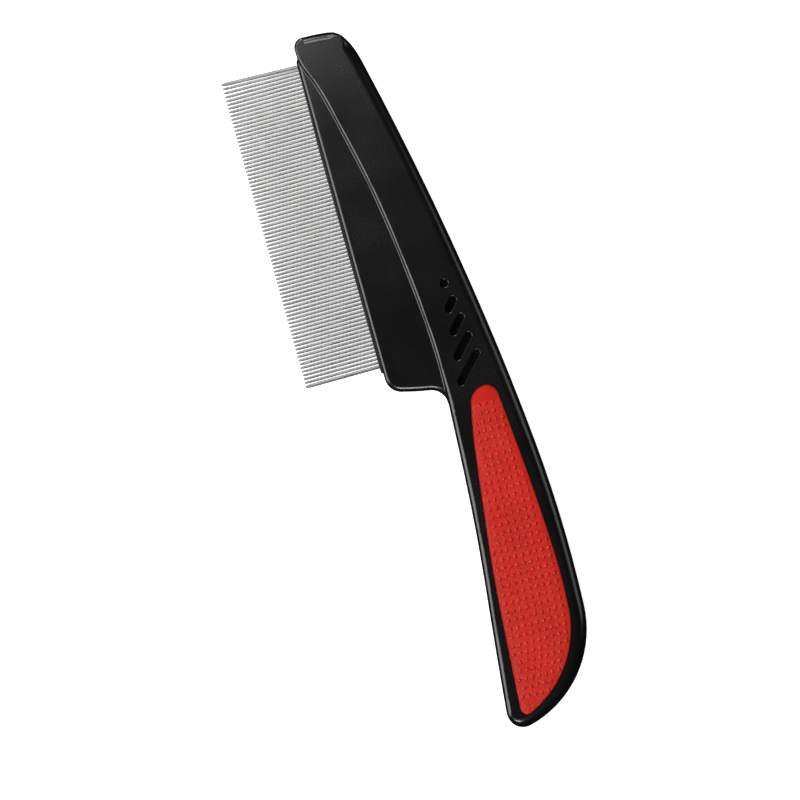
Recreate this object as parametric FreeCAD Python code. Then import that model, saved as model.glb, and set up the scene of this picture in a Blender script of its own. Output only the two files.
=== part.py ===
"""Flea comb: a two-shell plastic body with a row of steel pins and two soft grip pads.

The comb lies flat. +X runs along the back from the head end to the tail of the handle, the pins
point to -Y and +Z is up through the front face. Shapes are drawn in a working frame with x = 0 at
the head end, y = 0 at the pin edge of the blade and z = 0 on the rear face, and are moved at the
end so that the origin is the middle of the bottom of the overall box.
"""
import FreeCAD, Part
import os
from math import atan2, cos, hypot, pi, radians, sin, tan

from FreeCAD import Vector

# Driving dimensions in millimetres.
BODY_THICKNESS = 10.0
BLADE_THICKNESS = 7.0
MID = BODY_THICKNESS / 2            # height of the parting plane and of the pin row
BLADE_TOP = MID + BLADE_THICKNESS / 2

HEAD_CORNER_R = 2.5                 # corner of the body beside the first pin
TAIL_CORNER_R = 4.0                 # lower corner of the handle's end
BACK_FILLET_R = 2.7                 # rounding of the face into the back
HEAD_FILLET_R = 1.8                 # rounding of the face into the head end
PIN_SIDE_FILLET_R = 1.1             # rounding of the face into the handle's pin side
STEP_FILLET_R = 0.6                 # rounding of the face into the step down to the blade
BLADE_FILLET_R = 0.9                # rounding of the blade's face into its pin edge
BLADE_END_FILLET_R = 1.4            # and into the end by the handle
FOOT_FILLET_R = 0.3                 # hollow rounding at the foot of the step
SEAM_CHAMFER = 0.15                 # bevel along the outside of the parting plane
NUB = (0.95, 10.4, 0.45, 0.6)       # moulding gate on the head end: x, y, radius, half height

FAR = 60.0                          # reach of the half-planes that outlines are cut from
OVERRUN = 1.0                       # how far a cutter or a fused piece runs past a face
NEAR = 0.01                         # two heights closer than this are the same
LEVEL = 0.05                        # an edge that rises less than this is level
STRAIGHT = 0.001                    # an arc that bulges less than this is drawn as a line

WALL = 2.4                          # of the head cavity, in plan
HANDLE_WALL = 3.4                   # of the handle cavity, in plan
HEAD_CAVITY_DEPTH = 3.0             # in each shell, from the parting plane
HANDLE_CAVITY_DEPTH = 2.0
HEAD_CAVITY_X = (20.0, 62.0)
HEAD_CAVITY_LOW_Y = 7.5             # keeps the cavity clear of the pin bar
HANDLE_CAVITY_X = (98.5, 167.0)

BAR_X = (5.0, 83.4)
BAR_Y = (-0.5, 5.0)
BAR_EDGE = ((5.0, -0.05), (28.0, -0.5), (83.4, -0.5))   # shows less beside the first pins
BAR_THICKNESS = 3.2
BAR_CORNER_R = 0.6

PIN_COUNT = 80                      # fine pins, with one stouter pin beyond each end of the row
PIN_PITCH = 0.931
PIN_R = 0.34
PIN_TIP_R = 0.24
PIN_TAPER = 1.0
FIRST_PIN_X = 6.97
PINS_PER_GROUP = 5
END_PIN_X = (6.03, 81.53)
END_PIN_R = 0.44
END_PIN_TIP_R = 0.32
END_PIN_TAPER = 1.0
PIN_TIP_Y = -19.0
PIN_ROOT_Y = 4.0
PIN_MIDDLE_Y = -9.0                 # the places of the pins are given at this height
HEAD_SPLAY = (2.0, 1.3, 0.7, 0.3)   # lean of the first pins towards the head end, in degrees

SLOT_R = 0.9
SLOT_DEPTH = 3.5
SLOT_RIM_R = 0.2                    # rounding of the face into the slots and the round hole
SLOT_AREA_X = (65.0, 92.0)
SLOT_AREA_Y = (16.0, 24.6)
ROUND_HOLE = (66.4, 19.9, 1.0)      # x, y, radius
SLOTS = (
    ((70.8, 20.9), (72.7, 19.3)),
    ((75.35, 21.6), (78.25, 19.0)),
    ((80.1, 22.15), (84.3, 18.3)),
    ((84.7, 22.9), (90.4, 17.5)),
)

PAD_FLOOR = 1.3                     # depth of the pad's pocket
PAD_SINK = 0.3                      # pad face below the shell face, so that raised dots stay inside
PAD_EDGE_R = 0.3

PEGS = ((13.0, 10.5), (64.3, 16.2), (95.2, 21.5), (171.0, 10.9))
PEG_R = 1.2
PEG_HEIGHT = 1.2
SOCKET_DEPTH = 1.4

# Outlines are chains of tangent arcs, given by a start heading in degrees and points in order,
# but for the pin side, which is one smooth curve through its points.
BACK_HEADING = 90.0
BACK = (
    (0.0, -12.0),
    (0.0, 3.0),
    (0.4, 9.0),
    (2.15, 12.25),
    (5.15, 14.1),
    (8.95, 15.3),
    (85.0, 28.5),
    (109.4, 31.0),
    (150.4, 31.7),
    (175.6, 5.2),
    (175.6, -12.0),
)
PIN_SIDE_START = (-12.0, 0.38)      # a straight run from here leads into the curve below
PIN_SIDE = (
    (3.4, 0.38),
    (10.0, 2.2),
    (22.0, 5.5),
    (38.0, 8.9),
    (56.0, 11.5),
    (74.0, 13.2),
    (86.0, 13.6),
    (97.0, 13.15),
    (126.4, 11.3),
    (147.4, 9.1),
    (166.7, 7.05),
    (187.0, 5.2),
)
PIN_SIDE_HEADINGS = (0.0, -5.0)     # of the curve's two ends, in degrees
HEAD_END_X = 0.5                    # the rim before this is the head end's
PIN_SIDE_END_X = 165.0              # the rim before this and below PIN_SIDE_TOP_Y is the pin side's
PIN_SIDE_TOP_Y = 13.7
LOW_RIM_Y = 8.0                     # the rim below this has the pin side's radius round the tail
BLADE_HEADING = -90.0
BLADE_START_X = 4.5
BLADE_EDGE = (
    (BLADE_START_X, 1.1),
    (5.6, 0.0),
    (84.9, 0.0),
    (88.85, 3.0),
    (90.35, 9.75),
    (94.6, 13.2),
)
BLADE_END_X = BLADE_EDGE[2][0]       # the pin edge turns up into the blade's end from here
BLADE_ROOT_Y = 17.0                 # the blade runs on inside the body up to here
HEAD_CORNER = (0.0, 0.4)
TAIL_CORNER = (175.6, 6.0)
BLADE_BACK_INSET = 3.0
PAD_HEADING = 93.2
PAD = (
    (92.5, 22.3),
    (95.2, 25.42),
    (114.1, 27.0),
    (135.9, 28.2),
    (150.0, 27.9),
    (172.0, 12.2),
    (170.4, 9.95),
    (147.8, 11.55),
    (127.2, 13.6),
    (110.0, 15.8),
    (95.9, 18.3),
    (92.5, 22.3),
)


def aside(point, heading, distance):
    """The point moved to the left of a heading, in radians."""
    return Vector(point[0] - distance * sin(heading), point[1] + distance * cos(heading), 0)


def arc_chain(points, heading_deg, left=0.0):
    """Tangent arcs through the points, as edges, all moved to their left by a distance."""
    edges = []
    heading = radians(heading_deg)
    for start, end in zip(points, points[1:]):
        run = (end[0] - start[0], end[1] - start[1])
        chord = atan2(run[1], run[0])
        while chord - heading > pi:
            chord -= 2 * pi
        while chord - heading < -pi:
            chord += 2 * pi
        half_turn = chord - heading
        next_heading = chord + half_turn
        sagitta = hypot(*run) / 2 * tan(half_turn / 2)
        middle = ((start[0] + end[0]) / 2, (start[1] + end[1]) / 2)
        first = aside(start, heading, left)
        third = aside(end, next_heading, left)
        if abs(sagitta) < STRAIGHT:
            edges.append(Part.LineSegment(first, third).toShape())
        else:
            second = aside(middle, chord, left - sagitta)
            edges.append(Part.Arc(first, second, third).toShape())
        heading = next_heading
    return edges


def unit(heading_deg):
    return Vector(cos(radians(heading_deg)), sin(radians(heading_deg)), 0)


def smooth_chain(points, headings_deg, left=0.0):
    """One smooth curve through the points, as an edge for each gap, moved to its left."""
    start, end = [unit(heading) for heading in headings_deg]
    places = [Vector(x, y, 0) for x, y in points]
    curve = Part.BSplineCurve()
    curve.interpolate(Points=places, InitialTangent=start, FinalTangent=end)
    if left:
        places = [aside(place, atan2(run.y, run.x), left)
                  for place, run in ((p, curve.tangent(curve.parameter(p))[0]) for p in places)]
        curve.interpolate(Points=places, InitialTangent=start, FinalTangent=end)
    stops = [curve.parameter(place) for place in places]
    return [curve.toShape(low, high) for low, high in zip(stops, stops[1:])]


def pin_side_chain(left=0.0):
    """The body's pin side from before the head end to beyond the tail."""
    x, y = PIN_SIDE_START
    lead_in = Part.LineSegment(Vector(x, y + left, 0), Vector(PIN_SIDE[0][0], y + left, 0)).toShape()
    return [lead_in] + smooth_chain(PIN_SIDE, PIN_SIDE_HEADINGS, left)


def closed_by(edges, corners):
    """A face bounded by a chain of edges and by straight lines through the corners."""
    start = edges[0].valueAt(edges[0].FirstParameter)
    end = edges[-1].valueAt(edges[-1].LastParameter)
    stops = [end] + [Vector(x, y, 0) for x, y in corners] + [start]
    lines = [Part.LineSegment(a, b).toShape() for a, b in zip(stops, stops[1:])
             if (a - b).Length > NEAR]
    return Part.Face(Part.Wire(edges + lines))


def prism(face, low, high):
    solid = face.extrude(Vector(0, 0, high - low))
    solid.translate(Vector(0, 0, low))
    return solid


def box(x_range, y_range, z_range):
    size = [high - low for low, high in (x_range, y_range, z_range)]
    return Part.makeBox(*size, Vector(x_range[0], y_range[0], z_range[0]))


def column(x, y, radius, low, high):
    return Part.makeCylinder(radius, high - low, Vector(x, y, low))


def body_plan(inset, low, high):
    """The body's plan, moved inwards by an inset, as a solid between two heights."""
    back = closed_by(arc_chain(BACK, BACK_HEADING, -inset), ())
    pin_side = closed_by(pin_side_chain(inset), ((PIN_SIDE[-1][0], FAR), (PIN_SIDE_START[0], FAR)))
    return prism(back, low, high).common(prism(pin_side, low, high)).Solids[0]


def upright_edge(solid, x, y, height):
    """The upright edge of a height that is nearest to a place in plan."""
    upright = [edge for edge in solid.Edges if edge.BoundBox.ZLength > height - NEAR]
    return min(upright, key=lambda e: hypot(e.CenterOfMass.x - x, e.CenterOfMass.y - y))


def rounded(solid, top, radius_at, wanted):
    """Rounds the wanted edges of a top face, with a radius that may change from end to end."""
    document = FreeCAD.newDocument("rounding")
    base = document.addObject("Part::Feature", "base")
    base.Shape = solid
    rounding = document.addObject("Part::Fillet", "rounding")
    rounding.Base = base
    radii = []
    for number, edge in enumerate(solid.Edges, 1):
        if edge.BoundBox.ZMin > top - NEAR and wanted(edge.CenterOfMass):
            ends = [edge.valueAt(edge.FirstParameter), edge.valueAt(edge.LastParameter)]
            radii.append((number, radius_at(ends[0]), radius_at(ends[1])))
    rounding.Edges = radii
    document.recompute()
    result = rounding.Shape.copy()
    FreeCAD.closeDocument(document.Name)
    return result


def body_radius(point):
    """The body's rim is tight along the step, and grows round both ends to the back's radius."""
    if point.x < HEAD_END_X and point.y > HEAD_CORNER[1] + NEAR:
        return HEAD_FILLET_R
    if point.x < BLADE_END_X and point.y < PIN_SIDE_TOP_Y:
        return STEP_FILLET_R
    if point.y < LOW_RIM_Y or (point.x < PIN_SIDE_END_X and point.y < PIN_SIDE_TOP_Y):
        return PIN_SIDE_FILLET_R
    return BACK_FILLET_R


def blade_radius(point):
    return BLADE_FILLET_R if point.x < BLADE_END_X + NEAR else BLADE_END_FILLET_R


def spine_half():
    """The thick part of one shell, with its face on top."""
    solid = body_plan(0.0, MID, BODY_THICKNESS)
    solid = solid.makeFillet(HEAD_CORNER_R, [upright_edge(solid, *HEAD_CORNER, MID)])
    solid = solid.makeFillet(TAIL_CORNER_R, [upright_edge(solid, *TAIL_CORNER, MID)])
    return rounded(solid, BODY_THICKNESS, body_radius, lambda middle: True)


def on_blade_rim(middle):
    return middle.y < BLADE_EDGE[-1][1] and middle.x > BLADE_START_X + NEAR


def blade_half():
    """The thin part that carries the pins, with its outer rim rounded."""
    edge = arc_chain(BLADE_EDGE, BLADE_HEADING)
    plan = closed_by(edge, ((BLADE_EDGE[-1][0], BLADE_ROOT_Y), (BLADE_START_X, BLADE_ROOT_Y)))
    solid = prism(plan, MID, BLADE_TOP)
    solid = rounded(solid, BLADE_TOP, blade_radius, on_blade_rim)
    under_back = closed_by(arc_chain(BACK, BACK_HEADING, -BLADE_BACK_INSET), ())
    return solid.common(prism(under_back, MID, BLADE_TOP))


def with_foot_fillet(solid):
    """Rounds the foot of the step from the body down to the blade's face."""
    foot = []
    for edge in solid.Edges:
        middle = edge.CenterOfMass
        on_blade_face = abs(middle.z - BLADE_TOP) < NEAR and edge.BoundBox.ZLength < LEVEL
        on_pin_edge = abs(middle.y - BLADE_FILLET_R) < NEAR
        on_end_edge = middle.x > BLADE_END_X and middle.y < BLADE_EDGE[-1][1]
        if on_blade_face and not on_pin_edge and not on_end_edge:
            foot.append(edge)
    return solid.makeFillet(FOOT_FILLET_R, foot)


def slot_cutter(ends):
    """A round-ended slot between two centres, cut from the face."""
    (x1, y1), (x2, y2) = ends
    heading = atan2(y2 - y1, x2 - x1)
    low = BODY_THICKNESS - SLOT_DEPTH
    corners = [aside(point, heading, side * SLOT_R)
               for point, side in (((x1, y1), -1), ((x2, y2), -1), ((x2, y2), 1), ((x1, y1), 1))]
    ahead = Vector(x2 + SLOT_R * cos(heading), y2 + SLOT_R * sin(heading), 0)
    behind = Vector(x1 - SLOT_R * cos(heading), y1 - SLOT_R * sin(heading), 0)
    edges = [
        Part.LineSegment(corners[0], corners[1]).toShape(),
        Part.Arc(corners[1], ahead, corners[2]).toShape(),
        Part.LineSegment(corners[2], corners[3]).toShape(),
        Part.Arc(corners[3], behind, corners[0]).toShape(),
    ]
    return prism(Part.Face(Part.Wire(edges)), low, BODY_THICKNESS)


def cavity():
    """The hollows of one shell, open at the parting plane: one in the head, one in the handle."""
    head = body_plan(WALL, MID, MID + HEAD_CAVITY_DEPTH)
    head = head.common(box(HEAD_CAVITY_X, (HEAD_CAVITY_LOW_Y, FAR), (MID, BODY_THICKNESS)))
    handle = body_plan(HANDLE_WALL, MID, MID + HANDLE_CAVITY_DEPTH)
    handle = handle.common(box(HANDLE_CAVITY_X, (0.0, FAR), (MID, BODY_THICKNESS)))
    return [head, handle]


def outer_form():
    """The outside of one shell, with a bevelled seam and the moulding gate on its head end."""
    solid = with_foot_fillet(spine_half().fuse(blade_half()).removeSplitter())
    seam = [edge for edge in solid.Edges
            if abs(edge.CenterOfMass.z - MID) < NEAR and edge.BoundBox.ZLength < LEVEL]
    solid = solid.makeChamfer(SEAM_CHAMFER, seam)
    x, y, radius, half_height = NUB
    return solid.fuse(column(x, y, radius, MID, MID + half_height))


def on_slot_rim(edge):
    """Whether the edge is where a slot or the round hole meets the face."""
    middle = edge.CenterOfMass
    in_area = (SLOT_AREA_X[0] < middle.x < SLOT_AREA_X[1]
               and SLOT_AREA_Y[0] < middle.y < SLOT_AREA_Y[1])
    return in_area and edge.BoundBox.ZMin > BODY_THICKNESS - NEAR


def shell_half():
    """One shell, face up, before its pegs or sockets."""
    solid = outer_form()
    cutters = [slot_cutter(ends) for ends in SLOTS]
    x, y, radius = ROUND_HOLE
    cutters.append(column(x, y, radius, BODY_THICKNESS - SLOT_DEPTH, BODY_THICKNESS))
    cutters.append(prism(pad_plan(), BODY_THICKNESS - PAD_FLOOR, BODY_THICKNESS))
    cutters.append(box(BAR_X, (BAR_Y[0] - OVERRUN, BAR_Y[1]), (MID, MID + BAR_THICKNESS / 2)))
    cutters.extend(cavity())
    solid = solid.cut(cutters)
    return solid.makeFillet(SLOT_RIM_R, [edge for edge in solid.Edges if on_slot_rim(edge)])


def pad_plan():
    return Part.Face(Part.Wire(arc_chain(PAD, PAD_HEADING)))


def grip_pad():
    """The front grip pad, which fills its pocket to just under the shell's face."""
    top = BODY_THICKNESS - PAD_SINK
    solid = prism(pad_plan(), BODY_THICKNESS - PAD_FLOOR, top)
    rim = [edge for edge in solid.Edges if edge.BoundBox.ZMin > top - NEAR]
    return solid.makeFillet(PAD_EDGE_R, rim)


def rear_of(shape):
    """The mirror image of a front piece in the parting plane."""
    return shape.mirror(Vector(0, 0, MID), Vector(0, 0, 1))


def front_shell(half):
    return half.cut([column(x, y, PEG_R, MID, MID + SOCKET_DEPTH) for x, y in PEGS])


def rear_shell(half):
    return rear_of(half).fuse([column(x, y, PEG_R, MID - OVERRUN, MID + PEG_HEIGHT) for x, y in PEGS])


def pin(x, radius, tip_radius, taper, lean):
    """A straight round pin with a tapered, rounded tip; it points to -Y, leaning towards -X."""
    shoulder = PIN_TIP_Y + taper
    ball = PIN_TIP_Y + tip_radius
    profile = [
        Part.Arc(Vector(0, PIN_TIP_Y, 0),
                 Vector(tip_radius * sin(pi / 4), ball - tip_radius * cos(pi / 4), 0),
                 Vector(tip_radius, ball, 0)).toShape(),
        Part.LineSegment(Vector(tip_radius, ball, 0), Vector(radius, shoulder, 0)).toShape(),
        Part.LineSegment(Vector(radius, shoulder, 0), Vector(radius, PIN_ROOT_Y, 0)).toShape(),
        Part.LineSegment(Vector(radius, PIN_ROOT_Y, 0), Vector(0, PIN_ROOT_Y, 0)).toShape(),
        Part.LineSegment(Vector(0, PIN_ROOT_Y, 0), Vector(0, PIN_TIP_Y, 0)).toShape(),
    ]
    solid = Part.Face(Part.Wire(profile)).revolve(Vector(0, 0, 0), Vector(0, 1, 0), 360)
    solid.rotate(Vector(0, PIN_MIDDLE_Y, 0), Vector(0, 0, 1), -lean)
    solid.translate(Vector(x, 0, MID))
    return solid


def end_pins():
    """The stouter pins at the head end and at the tail end of the row."""
    head_x, tail_x = END_PIN_X
    return {
        "end_pin_head": pin(head_x, END_PIN_R, END_PIN_TIP_R, END_PIN_TAPER, HEAD_SPLAY[0]),
        "end_pin_tail": pin(tail_x, END_PIN_R, END_PIN_TIP_R, END_PIN_TAPER, 0.0),
    }


def fine_pins():
    """The row of fine pins, of which the first few lean a little."""
    leans = list(HEAD_SPLAY[1:]) + [0.0] * PIN_COUNT
    return [pin(FIRST_PIN_X + number * PIN_PITCH, PIN_R, PIN_TIP_R, PIN_TAPER, leans[number])
            for number in range(PIN_COUNT)]


def pin_bar(pins):
    """The strip between the blade's two halves, with a blind bore that fits each pin."""
    half = BAR_THICKNESS / 2
    corners = [Vector(x, y, 0) for x, y in BAR_EDGE]
    corners += [Vector(BAR_X[1], BAR_Y[1], 0), Vector(BAR_X[0], BAR_Y[1], 0)]
    solid = prism(Part.Face(Part.makePolygon(corners + corners[:1])), MID - half, MID + half)
    ends = [upright_edge(solid, x, y, BAR_THICKNESS) for x, y in (BAR_EDGE[0], BAR_EDGE[-1])]
    return solid.makeFillet(BAR_CORNER_R, ends).cut(pins)


def assembly():
    half = shell_half()
    pad = grip_pad()
    stout = end_pins()
    fine = fine_pins()
    shapes = {
        "front_shell": front_shell(half),
        "rear_shell": rear_shell(half),
        "front_grip": pad,
        "rear_grip": rear_of(pad),
        "pin_bar": pin_bar(list(stout.values()) + fine),
    }
    shapes.update(stout)
    for group, first in enumerate(range(0, PIN_COUNT, PINS_PER_GROUP), 1):
        shapes[f"pins_{group:02d}"] = Part.makeCompound(fine[first:first + PINS_PER_GROUP])
    return shapes


def main():
    os.makedirs("parts", exist_ok=True)
    shapes = assembly()
    overall = Part.makeCompound(list(shapes.values())).optimalBoundingBox(False)
    origin = Vector(-overall.Center.x, -overall.Center.y, -overall.ZMin)
    for name, shape in shapes.items():
        shape.translate(origin)
        solids = shape.Solids
        print(f"{name:12s} solids {len(solids):2d} volume {shape.Volume:9.2f} valid {shape.isValid()}")
        placed = solids[0] if len(solids) == 1 else shape
        placed.exportStep(f"parts/{name}.step")
    print("overall", round(overall.XLength, 2), round(overall.YLength, 2), round(overall.ZLength, 2))
    print("moved by", round(origin.x, 3), round(origin.y, 3), round(origin.z, 3))


main()
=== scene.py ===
"""Looks for the flea comb: its materials, two moulded grip pads with dots, a pale stage and light.

Lengths are in millimetres times MM, and those of the stage and the lights in metres. Places come
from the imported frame. Material coordinates are the objects' own, which are metres in the same
frame.
"""
import math

import bmesh
import bpy
from mathutils import Matrix, Vector
from mathutils.geometry import delaunay_2d_cdt

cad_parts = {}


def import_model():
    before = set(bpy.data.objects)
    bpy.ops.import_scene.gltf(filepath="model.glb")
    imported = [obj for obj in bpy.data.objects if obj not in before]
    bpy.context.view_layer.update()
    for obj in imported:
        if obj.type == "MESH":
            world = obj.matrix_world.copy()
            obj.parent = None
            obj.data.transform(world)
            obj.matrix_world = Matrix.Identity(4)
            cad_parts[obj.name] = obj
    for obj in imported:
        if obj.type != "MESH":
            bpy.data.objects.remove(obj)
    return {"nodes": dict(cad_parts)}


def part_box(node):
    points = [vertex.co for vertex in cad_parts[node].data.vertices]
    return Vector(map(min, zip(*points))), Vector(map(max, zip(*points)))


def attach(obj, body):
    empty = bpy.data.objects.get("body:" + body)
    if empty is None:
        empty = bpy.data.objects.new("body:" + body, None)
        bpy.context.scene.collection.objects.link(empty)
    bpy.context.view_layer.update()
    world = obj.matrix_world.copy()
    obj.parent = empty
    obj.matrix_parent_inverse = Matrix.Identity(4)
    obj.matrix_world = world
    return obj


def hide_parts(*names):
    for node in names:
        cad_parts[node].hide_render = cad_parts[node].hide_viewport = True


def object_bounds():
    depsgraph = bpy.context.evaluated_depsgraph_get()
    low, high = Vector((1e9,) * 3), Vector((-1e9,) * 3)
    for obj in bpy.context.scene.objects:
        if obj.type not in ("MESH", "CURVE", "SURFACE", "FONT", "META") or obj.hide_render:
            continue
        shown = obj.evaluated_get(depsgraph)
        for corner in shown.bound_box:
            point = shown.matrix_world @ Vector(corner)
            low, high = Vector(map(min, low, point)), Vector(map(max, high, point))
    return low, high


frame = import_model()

MM = 0.001
CAD_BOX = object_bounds()
MID_Z = (CAD_BOX[0].z + CAD_BOX[1].z) / 2    # the parting plane and the row of pins

SHELL_NODES = ("front_shell", "rear_shell")
GRIP_NODES = ("front_grip", "rear_grip")
PIN_NODES = [name for name in sorted(frame["nodes"]) if name.startswith(("pins_", "end_pin_"))]
PIN_TIP_Y = CAD_BOX[0].y
GROUND_TAPER = 1.6 * MM                      # length of a pin's ground tip

# Colours, each a pair between which a noise varies.
BODY_BLACKS = (0.0026, 0.0026, 0.0025), (0.0046, 0.0046, 0.0044)
BAR_BLACKS = (0.0045, 0.0045, 0.0045), (0.0085, 0.0085, 0.0085)
STEEL_GREYS = (0.215, 0.215, 0.211), (0.28, 0.28, 0.275)
RUBBER_REDS = (0.61, 0.0165, 0.0065), (0.79, 0.0220, 0.0095)

# Ranges. Nearly all values of a noise lie inside WIDE_NOISE, and most inside NARROW_NOISE.
UNIT = (0.0, 1.0)
WIDE_NOISE = (0.3, 0.7)
NARROW_NOISE = (0.35, 0.65)

# The grip pads.
POCKET_TOLERANCE = 0.01 * MM                 # how far off its pocket's floor a CAD vertex may be
OUTLINE_STEP = 0.7 * MM
WALL_HEIGHT = 0.55 * MM                      # upright part of a pad's edge, from its pocket's floor
EDGE_ROUNDING = 0.25 * MM
EDGE_STEPS = 4
CROWN = 0.07 * MM                            # rise of the face over CROWN_WIDTH from the edge
CROWN_WIDTH = 3.0 * MM
FACE_STEP = 1.0 * MM
FACE_CLEARANCE = 0.6 * FACE_STEP             # least distance of the face's inner points from its rim
MERGE_DISTANCE = 0.001 * MM
STIPPLE_START = 3.2 * MM                     # from the pad's head end, which is smooth up to here
FIRST_DOT_ROW = 4.5 * MM                     # from the pad's head end
LAST_DOT_ROW = 2.5 * MM                      # from the pad's other end
DOT_RADIUS = 0.52 * MM
DOT_HEIGHT = 0.37 * MM
DOT_PITCH_X = 2.08 * MM
DOT_PITCH_Y = 1.65 * MM
DOT_MARGIN = 0.87 * MM
DOT_SIDES = 14
# A dot's section from its soft foot to near its top, as shares of DOT_RADIUS and DOT_HEIGHT.
DOT_PROFILE = ((1.15, -0.06), (1.0, 0.04), (0.88, 0.36), (0.66, 0.72), (0.36, 0.94))

# The stage, in metres.
STAGE_PALE = 0.8
STAGE_GLOW = 0.95
STAGE_SIDES = 96
CORE_RADIUS = 0.5                            # the disc in the middle of the floor
FLOOR_RADIUS = 2.5
SWEEP_RADIUS = 2.0
SWEEP_STEPS = 12
WALL_TOP = 4.0

# The lights: name, place, aim and size in metres, and watts.
LIGHTS = (
    ("key", (0.0, -0.8, 0.8), (0, 0, 0), (0.5, 1.0), 6.2),
    ("near", (-0.165, -0.03, 0.22), (-0.087, 0, 0.01), (0.1, 0.1), 0.17),
    ("side", (-1.05, -0.14, 0.55), (0, 0, 0), (0.4, 0.4), 3.5),
    ("tail", (0.65, -0.22, 0.73), (0, 0, 0), (0.26, 0.26), 3.2),
    ("back", (0.02, 1.0, 0.35), (0, 0, 0), (0.5, 0.5), 0.8),
)
WORLD_STRENGTH = 0.02

# The camera.
AIM_X = 90.65 * MM                           # from the low corner of the comb's box
AIM_Y = 21.17 * MM
VIEW_WIDTH = 193.7 * MM
VIEW_DISTANCE = 1.2                          # metres
VIEW_ROLL = math.radians(74.4)
SENSOR_WIDTH = 36
CLIP_START = 0.05
CLIP_END = 20


# ---------------------------------------------------------------- materials
def new_material(name):
    material = bpy.data.materials.new(name)
    material.use_nodes = True
    return material, material.node_tree, material.node_tree.nodes["Principled BSDF"]


def link(tree, source, target):
    tree.links.new(source, target)


def noise(tree, scale, detail, stretch=(1, 1, 1)):
    """A noise value from 0 to 1 with about `scale` bumps to the metre, stretched along axes."""
    place = tree.nodes.new("ShaderNodeTexCoord")
    mapping = tree.nodes.new("ShaderNodeMapping")
    mapping.inputs["Scale"].default_value = stretch
    texture = tree.nodes.new("ShaderNodeTexNoise")
    texture.inputs["Scale"].default_value = scale
    texture.inputs["Detail"].default_value = detail
    link(tree, place.outputs["Object"], mapping.inputs["Vector"])
    link(tree, mapping.outputs["Vector"], texture.inputs["Vector"])
    return texture.outputs["Fac"]


def along(tree, axis, start, end):
    """A smooth step from 0 to 1 along an axis of the object, between two places in metres."""
    place = tree.nodes.new("ShaderNodeTexCoord")
    split = tree.nodes.new("ShaderNodeSeparateXYZ")
    link(tree, place.outputs["Object"], split.inputs["Vector"])
    return spread(tree, split.outputs[axis], (start, end), UNIT, "SMOOTHSTEP")


def spread(tree, value, span, result, kind="LINEAR"):
    """The value mapped from one range to another, and held inside it."""
    node = tree.nodes.new("ShaderNodeMapRange")
    node.interpolation_type = kind
    node.clamp = True
    node.inputs["From Min"].default_value, node.inputs["From Max"].default_value = span
    node.inputs["To Min"].default_value, node.inputs["To Max"].default_value = result
    link(tree, value, node.inputs["Value"])
    return node.outputs["Result"]


def calculate(tree, operation, first, second):
    """Two values added, multiplied or otherwise combined."""
    node = tree.nodes.new("ShaderNodeMath")
    node.operation = operation
    link(tree, first, node.inputs[0])
    link(tree, second, node.inputs[1])
    return node.outputs["Value"]


def blend_colours(tree, factor, colours):
    """The first colour where the factor is 0, the second where it is 1."""
    node = tree.nodes.new("ShaderNodeMix")
    node.data_type = "RGBA"
    node.inputs["A"].default_value = (*colours[0], 1)
    node.inputs["B"].default_value = (*colours[1], 1)
    link(tree, factor, node.inputs["Factor"])
    return node.outputs["Result"]


def bump(tree, height, depth, strength):
    """A bumped normal; `depth` is the height in metres of a value of 1."""
    node = tree.nodes.new("ShaderNodeBump")
    node.inputs["Distance"].default_value = depth
    node.inputs["Strength"].default_value = strength
    link(tree, height, node.inputs["Height"])
    return node.outputs["Normal"]


def connect(tree, shader, colour, roughness, normal):
    """Links a surface's three varying properties to its shader."""
    link(tree, colour, shader.inputs["Base Color"])
    link(tree, roughness, shader.inputs["Roughness"])
    link(tree, normal, shader.inputs["Normal"])


def body_plastic():
    """Satin black moulding: a fine spark-eroded grain under soft cloudy changes of gloss."""
    material, tree, shader = new_material("body_plastic")
    cloud = spread(tree, noise(tree, scale=70, detail=3), WIDE_NOISE, UNIT)
    grain = noise(tree, scale=2600, detail=3)
    colour = blend_colours(tree, cloud, BODY_BLACKS)
    cloudy_gloss = spread(tree, cloud, UNIT, (0.21, 0.25))
    grain_gloss = spread(tree, grain, WIDE_NOISE, (-0.02, 0.04))
    roughness = calculate(tree, "ADD", cloudy_gloss, grain_gloss)
    connect(tree, shader, colour, roughness, bump(tree, grain, depth=0.012 * MM, strength=0.35))
    shader.inputs["Specular IOR Level"].default_value = 0.8
    return material


def bar_plastic():
    """Plainer, duller black plastic with a coarser grain."""
    material, tree, shader = new_material("bar_plastic")
    grain = noise(tree, scale=1500, detail=4)
    colour = blend_colours(tree, grain, BAR_BLACKS)
    roughness = spread(tree, grain, WIDE_NOISE, (0.48, 0.62))
    connect(tree, shader, colour, roughness, bump(tree, grain, depth=0.02 * MM, strength=0.4))
    return material


def pin_steel():
    """Drawn stainless wire: fine streaks along each pin, and a duller ground tip."""
    material, tree, shader = new_material("pin_steel")
    streak = noise(tree, scale=9000, detail=2, stretch=(1, 0.02, 1))
    smudge = noise(tree, scale=160, detail=2)
    ground = along(tree, "Y", PIN_TIP_Y + GROUND_TAPER, PIN_TIP_Y + 0.5 * GROUND_TAPER)
    streak_tone = spread(tree, streak, WIDE_NOISE, (0.0, 0.6))
    smudge_tone = spread(tree, smudge, NARROW_NOISE, (0.0, 0.4))
    colour = blend_colours(tree, calculate(tree, "ADD", streak_tone, smudge_tone), STEEL_GREYS)
    drawn_gloss = spread(tree, streak, WIDE_NOISE, (0.24, 0.34))
    ground_gloss = spread(tree, ground, UNIT, (0.0, 0.12))
    roughness = calculate(tree, "ADD", drawn_gloss, ground_gloss)
    connect(tree, shader, colour, roughness, bump(tree, streak, depth=0.003 * MM, strength=0.15))
    shader.inputs["Metallic"].default_value = 1.0
    return material


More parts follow.
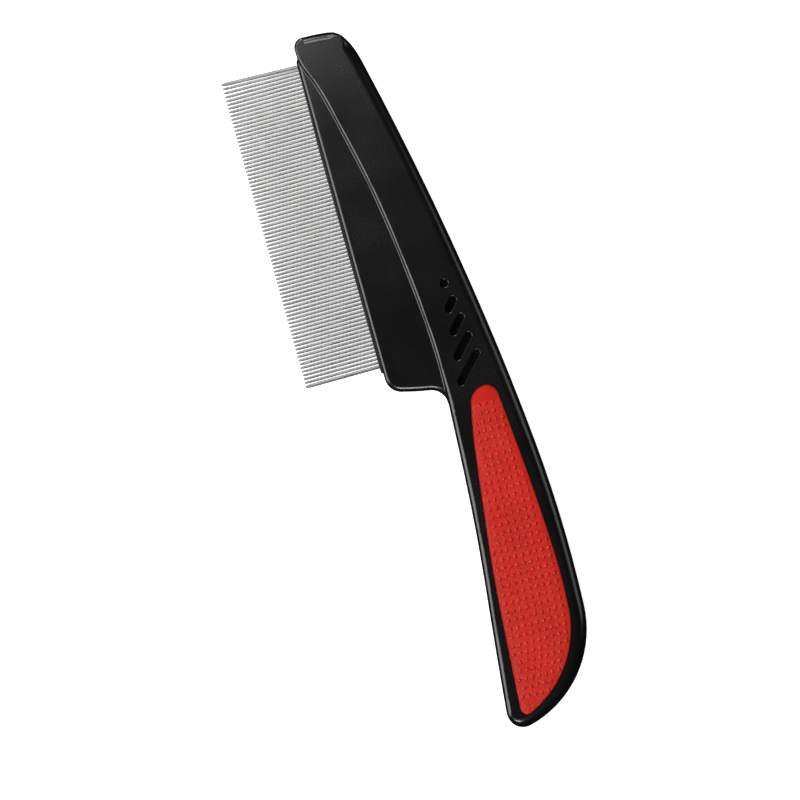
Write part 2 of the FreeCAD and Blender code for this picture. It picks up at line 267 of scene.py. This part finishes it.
def grip_rubber():
    """Matt red soft moulding, smooth by its head end and finely stippled beyond."""
    material, tree, shader = new_material("grip_rubber")
    head_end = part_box("front_grip")[0].x
    stippled = along(tree, "X", head_end + STIPPLE_START, head_end + FIRST_DOT_ROW)
    pimples = spread(tree, noise(tree, scale=1700, detail=3), NARROW_NOISE, UNIT)
    stipple = calculate(tree, "MULTIPLY", pimples, stippled)
    cloud_tone = spread(tree, noise(tree, scale=110, detail=3), NARROW_NOISE, (0.0, 0.55))
    stipple_tone = spread(tree, stipple, UNIT, (0.0, 0.45))
    colour = blend_colours(tree, calculate(tree, "ADD", cloud_tone, stipple_tone), RUBBER_REDS)
    roughness = spread(tree, stipple, UNIT, (0.29, 0.37))
    connect(tree, shader, colour, roughness, bump(tree, stipple, depth=0.05 * MM, strength=0.9))
    shader.inputs["Specular IOR Level"].default_value = 0.6
    return material


def paint(nodes, material):
    """Gives CAD nodes a better material."""
    for node in nodes:
        slots = frame["nodes"][node].data.materials
        slots.clear()
        slots.append(material)


# ---------------------------------------------------------------- meshes
def circle(centre, radius, sides):
    """Points evenly spaced round a centre, anticlockwise."""
    angles = (2 * math.pi * k / sides for k in range(sides))
    return [centre + Vector((math.cos(angle), math.sin(angle))) * radius for angle in angles]


def add_ring(mesh, ring, height):
    return [mesh.verts.new((point.x, point.y, height)) for point in ring]


def bridge(mesh, rings):
    """A band of faces between each ring of vertices and the next."""
    for lower, upper in zip(rings, rings[1:]):
        for i in range(len(lower)):
            j = (i + 1) % len(lower)
            mesh.faces.new((lower[i], lower[j], upper[j], upper[i]))


def add_object(name, data):
    made = bpy.data.objects.new(name, data)
    bpy.context.scene.collection.objects.link(made)
    return made


def smooth_object(name, mesh, material):
    """Turns a finished bmesh into an object with smooth faces and one material."""
    for face in mesh.faces:
        face.smooth = True
    data = bpy.data.meshes.new(name)
    mesh.to_mesh(data)
    mesh.free()
    data.materials.append(material)
    return add_object(name, data)


# ---------------------------------------------------------------- grip pads
def is_front(node):
    """Whether a grip node lies on the front side of the parting plane."""
    low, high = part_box(node)
    return (low.z + high.z) / 2 > MID_Z


def pad_outline(node):
    """The pad's outline as evenly spaced points, anticlockwise, read from the CAD node's wall."""
    low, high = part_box(node)
    middle = (low + high) / 2
    floor_z = low.z if is_front(node) else high.z
    corners = {(round(v.co.x, 7), round(v.co.y, 7)) for v in frame["nodes"][node].data.vertices
               if abs(v.co.z - floor_z) < POCKET_TOLERANCE}
    ring = sorted(corners, key=lambda c: math.atan2(c[1] - middle.y, c[0] - middle.x))
    ring = [Vector(corner) for corner in ring]
    return evenly_spaced(ring + ring[:1], OUTLINE_STEP)


def evenly_spaced(path, step):
    """Points along the path about a step apart, from its start to just before its end."""
    lengths = [(b - a).length for a, b in zip(path, path[1:])]
    count = round(sum(lengths) / step)
    points = []
    piece = 0
    passed = 0.0
    for number in range(count):
        goal = number * sum(lengths) / count
        while passed + lengths[piece] < goal:
            passed += lengths[piece]
            piece += 1
        share = (goal - passed) / lengths[piece]
        points.append(path[piece].lerp(path[piece + 1], share))
    return points


def inset(ring, distance):
    """The closed ring moved inwards, point by point along its normals."""
    moved = []
    for before, here, after in zip(ring[-1:] + ring[:-1], ring, ring[1:] + ring[:1]):
        heading = (after - before).normalized()
        moved.append(here + Vector((-heading.y, heading.x)) * distance)
    return moved


def depth_inside(ring, point):
    """Distance from a point to the ring's nearest corner, negative outside the ring."""
    nearest = min((corner - point).length for corner in ring)
    crossings = 0
    for a, b in zip(ring, ring[1:] + ring[:1]):
        if (a.y > point.y) != (b.y > point.y):
            if point.x < a.x + (point.y - a.y) / (b.y - a.y) * (b.x - a.x):
                crossings += 1
    return nearest if crossings % 2 else -nearest


def crown_height(depth):
    """Height of the pad's face over its pocket's floor, by distance from the outline."""
    share = min(max(depth / CROWN_WIDTH, 0.0), 1.0)
    return WALL_HEIGHT + EDGE_ROUNDING + CROWN * share * (2 - share)


def add_body(mesh, outline):
    """The pad's floor, wall, rounded edge and crowned face, as one closed form on z = 0."""
    rings = [add_ring(mesh, outline, 0.0), add_ring(mesh, outline, WALL_HEIGHT)]
    for step in range(1, EDGE_STEPS + 1):
        angle = math.pi / 2 * step / EDGE_STEPS
        shift = EDGE_ROUNDING * (1 - math.cos(angle))
        height = WALL_HEIGHT + EDGE_ROUNDING * math.sin(angle)
        rings.append(add_ring(mesh, inset(outline, shift), height))
    bridge(mesh, rings)
    mesh.faces.new(list(reversed(rings[0])))
    add_face(mesh, outline, rings[-1])


def grid_inside(border):
    """Points of a staggered grid inside the border, clear of it by FACE_CLEARANCE."""
    low = Vector((min(p.x for p in border), min(p.y for p in border)))
    high = Vector((max(p.x for p in border), max(p.y for p in border)))
    inner = []
    for column in range(1, int((high.x - low.x) / FACE_STEP) + 1):
        for row in range(1, int((high.y - low.y) / FACE_STEP) + 1):
            point = low + Vector((column, row + 0.5 * (column % 2))) * FACE_STEP
            if depth_inside(border, point) > FACE_CLEARANCE:
                inner.append(point)
    return inner


def add_face(mesh, outline, rim):
    """Fills the rim with a fine triangle grid that follows the crown."""
    border = [Vector((v.co.x, v.co.y)) for v in rim]
    count = len(border)
    edges = [(i, (i + 1) % count) for i in range(count)]
    places, _, triangles, origins, _, _ = delaunay_2d_cdt(
        border + grid_inside(border), edges, [], 1, MERGE_DISTANCE)
    verts = []
    for place, origin in zip(places, origins):
        if origin and origin[0] < count:
            verts.append(rim[origin[0]])
        else:
            height = crown_height(depth_inside(outline, place))
            verts.append(mesh.verts.new((place.x, place.y, height)))
    for triangle in triangles:
        mesh.faces.new([verts[i] for i in triangle])


def dot_places(outline):
    """Rows of dots across the pad, each row centred on it and as long as its width allows."""
    low = min(point.x for point in outline)
    high = max(point.x for point in outline)
    places = []
    x = low + FIRST_DOT_ROW
    while x < high - LAST_DOT_ROW:
        crossing = [a.lerp(b, (x - a.x) / (b.x - a.x)).y
                    for a, b in zip(outline, outline[1:] + outline[:1]) if (a.x > x) != (b.x > x)]
        middle = (min(crossing) + max(crossing)) / 2
        room = (max(crossing) - min(crossing)) / 2 - DOT_MARGIN
        reach = int(room / DOT_PITCH_Y)
        places.extend(Vector((x, middle + n * DOT_PITCH_Y)) for n in range(-reach, reach + 1))
        x += DOT_PITCH_X
    return places


def add_dot(mesh, place, base):
    """A low round dome with a soft foot, sunk a little into the pad's face."""
    rings = [add_ring(mesh, circle(place, radius * DOT_RADIUS, DOT_SIDES), base + height * DOT_HEIGHT)
             for radius, height in DOT_PROFILE]
    bridge(mesh, rings)
    top = mesh.verts.new((place.x, place.y, base + DOT_HEIGHT))
    for i in range(DOT_SIDES):
        mesh.faces.new((rings[-1][i], rings[-1][(i + 1) % DOT_SIDES], top))


def grip_pad(node, material):
    """A moulded pad with its dots, which stands for a CAD grip node on either side."""
    outline = pad_outline(node)
    mesh = bmesh.new()
    add_body(mesh, outline)
    for place in dot_places(outline):
        add_dot(mesh, place, crown_height(depth_inside(outline, place)))
    low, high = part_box(node)
    faces_up = is_front(node)
    for vert in mesh.verts:
        vert.co.z = low.z + vert.co.z if faces_up else high.z - vert.co.z
    if not faces_up:
        bmesh.ops.reverse_faces(mesh, faces=mesh.faces)
    pad = smooth_object(node + "_moulding", mesh, material)
    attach(pad, "root")
    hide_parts(node)


# ---------------------------------------------------------------- stage, light, camera
def stage_material():
    material, _, shader = new_material("stage")
    shader.inputs["Base Color"].default_value = (STAGE_PALE, STAGE_PALE, STAGE_PALE, 1)
    shader.inputs["Roughness"].default_value = 0.9
    shader.inputs["Specular IOR Level"].default_value = 0.0
    shader.inputs["Emission Color"].default_value = (1, 1, 1, 1)
    shader.inputs["Emission Strength"].default_value = STAGE_GLOW
    return material


def stage():
    """A pale floor that sweeps up all round into a backdrop, and glows so that it stays white."""
    profile = [(CORE_RADIUS, 0.0), (FLOOR_RADIUS, 0.0)]
    for step in range(1, SWEEP_STEPS + 1):
        angle = math.pi / 2 * step / SWEEP_STEPS
        radius = FLOOR_RADIUS + SWEEP_RADIUS * math.sin(angle)
        profile.append((radius, SWEEP_RADIUS * (1 - math.cos(angle))))
    profile.append((FLOOR_RADIUS + SWEEP_RADIUS, WALL_TOP))
    mesh = bmesh.new()
    rings = [add_ring(mesh, circle(Vector((0, 0)), radius, STAGE_SIDES), height)
             for radius, height in profile]
    bridge(mesh, rings[::-1])
    mesh.faces.new(rings[0])
    piece = smooth_object("stage", mesh, stage_material())
    piece.visible_glossy = False
    piece.visible_diffuse = False


def softbox(name, place, aim, size, watts):
    light = bpy.data.lights.new(name, "AREA")
    light.shape = "RECTANGLE"
    light.size, light.size_y = size
    light.energy = watts
    lamp = add_object(name, light)
    lamp.location = place
    lamp.rotation_euler = (Vector(aim) - Vector(place)).to_track_quat("-Z", "Y").to_euler()


def world(strength):
    """An even white surround of the given strength."""
    setting = bpy.data.worlds.new("studio")
    setting.use_nodes = True
    background = setting.node_tree.nodes["Background"]
    background.inputs["Color"].default_value = (1, 1, 1, 1)
    background.inputs["Strength"].default_value = strength
    bpy.context.scene.world = setting


def camera():
    """Looks straight down on the front face, with the comb's head end up."""
    low, _ = CAD_BOX
    aim = Vector((low.x + AIM_X, low.y + AIM_Y, MID_Z))
    right = Vector((math.cos(VIEW_ROLL), math.sin(VIEW_ROLL), 0))
    up = Vector((-math.sin(VIEW_ROLL), math.cos(VIEW_ROLL), 0))
    rotation = Matrix((right, up, (0, 0, 1))).transposed().to_4x4()
    data = bpy.data.cameras.new("camera")
    data.sensor_width = SENSOR_WIDTH
    data.lens = SENSOR_WIDTH * VIEW_DISTANCE / VIEW_WIDTH
    data.clip_start = CLIP_START
    data.clip_end = CLIP_END
    seen = add_object("camera", data)
    seen.matrix_world = Matrix.Translation(aim + Vector((0, 0, VIEW_DISTANCE))) @ rotation
    bpy.context.scene.camera = seen


paint(SHELL_NODES, body_plastic())
paint(("pin_bar",), bar_plastic())
paint(PIN_NODES, pin_steel())
rubber = grip_rubber()
for node in GRIP_NODES:
    grip_pad(node, rubber)

bpy.context.scene.view_settings.view_transform = "Standard"
stage()
world(WORLD_STRENGTH)
for light in LIGHTS:
    softbox(*light)
camera()
